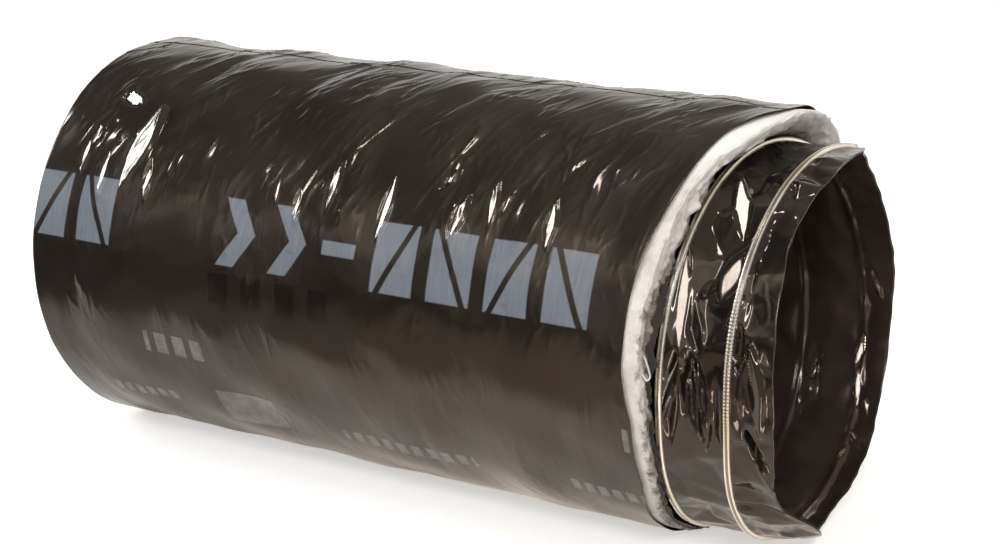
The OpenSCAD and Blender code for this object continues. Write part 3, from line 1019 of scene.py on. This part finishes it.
def make_bead(name, total, material):
    """The wire, as a bead with a shallow groove along its outside."""
    sides = 20
    centre = polar(wire_x(total), total, BEAD_R)
    out_dir = polar(0, total, 1)
    along = np.gradient(centre, axis=0)
    along /= np.linalg.norm(along, axis=1)[:, None]
    side = np.cross(along, out_dir)
    b = np.arange(sides) / sides * 2 * math.pi
    groove = np.exp(-((((b + math.pi) % (2 * math.pi) - math.pi) / 0.28) ** 2))
    rad, cos_b, sin_b = (v[None, :, None] for v in (BEAD * (1 - 0.16 * groove), np.cos(b), np.sin(b)))
    p = centre[:, None] + rad * (cos_b * out_dir[:, None] + sin_b * side[:, None])
    # Rounded ends
    for end, sign in ((0, -1), (-1, 1)):
        ahead, ring = sign * along[end] * BEAD, p[end] - centre[end]
        cap, tip = centre[end] + ahead * 0.4 + 0.45 * ring, centre[end] + ahead * 0.5 + 0.02 * ring
        p = np.concatenate([tip[None], cap[None], p] if end == 0 else [p, cap[None], tip[None]])
    # How far each ring lies along the wire. The rounded ends add nothing.
    run = np.cumsum(np.full(len(total), math.radians(total[1] - total[0]) * WIRE_R))
    run = np.concatenate([[0, 0], run, [run[-1], run[-1]]])
    uv = np.stack(np.broadcast_arrays(run[:, None], np.arange(sides + 1)[None, :] / sides), -1)
    return link(name, grid_mesh(name, p[:, ::-1], (False, True), uv), material)


# ---- Floor and light ----


def make_stage():
    mesh = bpy.data.meshes.new("floor")
    h = 6.0
    mesh.from_pydata([(-h, -h, 0), (h, -h, 0), (h, h, 0), (-h, h, 0)], [], [(0, 1, 2, 3)])
    k = Material("floor")
    obj = k.object()
    x, y = k.split(obj)[:2]
    seen = k.node("ShaderNodeLightPath").outputs
    camera_sees, film_sees = seen["Is Camera Ray"], seen["Is Glossy Ray"]
    # Painted for the film to mirror: beyond its near strip the floor is dark to the film's reflections,
    # darker to the left, and stays pale to the camera
    beyond = k.times(k.ramp(y, -0.27, -0.36), film_sees)
    cloud = k.ramp(k.noise(obj, 3.0, 2.0), 0.3, 0.7)
    pale = k.mix(cloud, (0.80, 0.795, 0.785, 1), (0.83, 0.825, 0.815, 1))
    far = k.mix(k.ramp(x, -1.0, -0.3), (0.02, 0.017, 0.015, 1), (0.60, 0.51, 0.44, 1))
    k.set(Base_Color=k.mix(beyond, pale, far), Roughness=0.7, IOR=1.3)
    # The near strip glows in the film, in bands
    bands = k.ramp(k.noise(k.scaled(obj, (9, 0.8, 1)), 1.0, 2.0), 0.36, 0.64, 0.62, 1.12)
    glow = k.times(k.ramp(x, -0.85, -0.25, 0.12, 0.66), k.math("SUBTRACT", film_sees, beyond), bands)
    # A bright spot that only the core mirrors
    spot = k.times(k.between(x, 0.03, 0.05, 0.13, 0.15), k.between(y, -0.66, -0.62, -0.32, -0.30))
    spot = k.times(spot, film_sees, 10.0)
    shine = k.node("ShaderNodeEmission")
    k.wire(k.mix(film_sees, (1, 0.99, 0.975, 1), (1, 0.87, 0.76, 1)), shine.inputs["Color"])
    k.wire(k.math("ADD", k.times(camera_sees, 0.55), k.math("ADD", glow, spot)), shine.inputs["Strength"])
    add = k.node("ShaderNodeAddShader")
    k.wire(k.bsdf.outputs[0], add.inputs[0])
    k.wire(shine.outputs[0], add.inputs[1])
    k.wire(add.outputs[0], k.tree.nodes["Material Output"].inputs[0])
    floor = bpy.data.objects.new("floor", mesh)
    mesh.materials.append(k.mat)
    floor.location.z = FLOOR_Z
    bpy.context.collection.objects.link(floor)


def make_world():
    """White to the camera, and to all else a dim room."""
    world = bpy.data.worlds.new("studio")
    world.use_nodes = True
    bpy.context.scene.world = world
    world.node_tree.nodes.clear()
    k = Nodes(world.node_tree)
    way = k.node("ShaderNodeTexCoord").outputs["Generated"]
    x, y, z = k.split(way)

    def eased_ramp(*args):
        return k.ramp(*args, interpolation="SMOOTHSTEP")

    # The room is darker to the left, with a bright backdrop low down behind the duct
    room = k.mix(eased_ramp(x, -0.70, -0.20), (0.125, 0.114, 0.105, 1), (0.58, 0.53, 0.49, 1))
    backdrop = k.times(eased_ramp(y, 0.05, 0.65), eased_ramp(z, 0.28, 0.66, 1.0, 0.0))
    room = k.mix(backdrop, room, (0.95, 0.93, 0.90, 1))
    # A soft window in front, with clouds in it
    clouds = eased_ramp(k.noise(way, 5.0, 4.0), 0.38, 0.62)
    window = k.times(eased_ramp(y, -0.45, -0.75), eased_ramp(z, 0.10, 0.45), clouds)
    room = k.mix(window, room, (1.10, 1.04, 0.98, 1))
    camera_sees = k.node("ShaderNodeLightPath").outputs["Is Camera Ray"]
    light = k.node("ShaderNodeBackground")
    k.wire(k.mix(camera_sees, room, (1, 1, 1, 1)), light.inputs[0])
    k.wire(light.outputs[0], k.node("ShaderNodeOutputWorld").inputs[0])


def lamp(name):
    """A soft rectangular lamp, facing the duct."""
    towards, _, size, radiance = LAMPS[name]
    data = bpy.data.lights.new(name, "AREA")
    data.shape = "RECTANGLE"
    data.size, data.size_y = size
    data.energy = radiance * math.pi * size[0] * size[1]
    obj = bpy.data.objects.new(name, data)
    obj.location = lamp_place(name)
    obj.rotation_euler = Vector(towards).to_track_quat("Z", "Y").to_euler()
    bpy.context.collection.objects.link(obj)


make_stage()
make_world()
for name in LAMPS:
    lamp(name)

make_jacket(jacket_material())
fibre = blanket_material()
make_blanket(fibre)
make_thread(fibre)
outer_film = core_material("core_film_outer", (0.0055, 0.0045, 0.0038, 1), (0.0110, 0.0090, 0.0075, 1), 0.05)
# The inner film is lighter than the outer one: painted light for the duct's dim inside
inner_film = core_material("core_film_inner", (0.028, 0.0195, 0.0155, 1), (0.050, 0.0365, 0.0300, 1), 0.15)
make_core(outer_film, inner_film, wire_material())
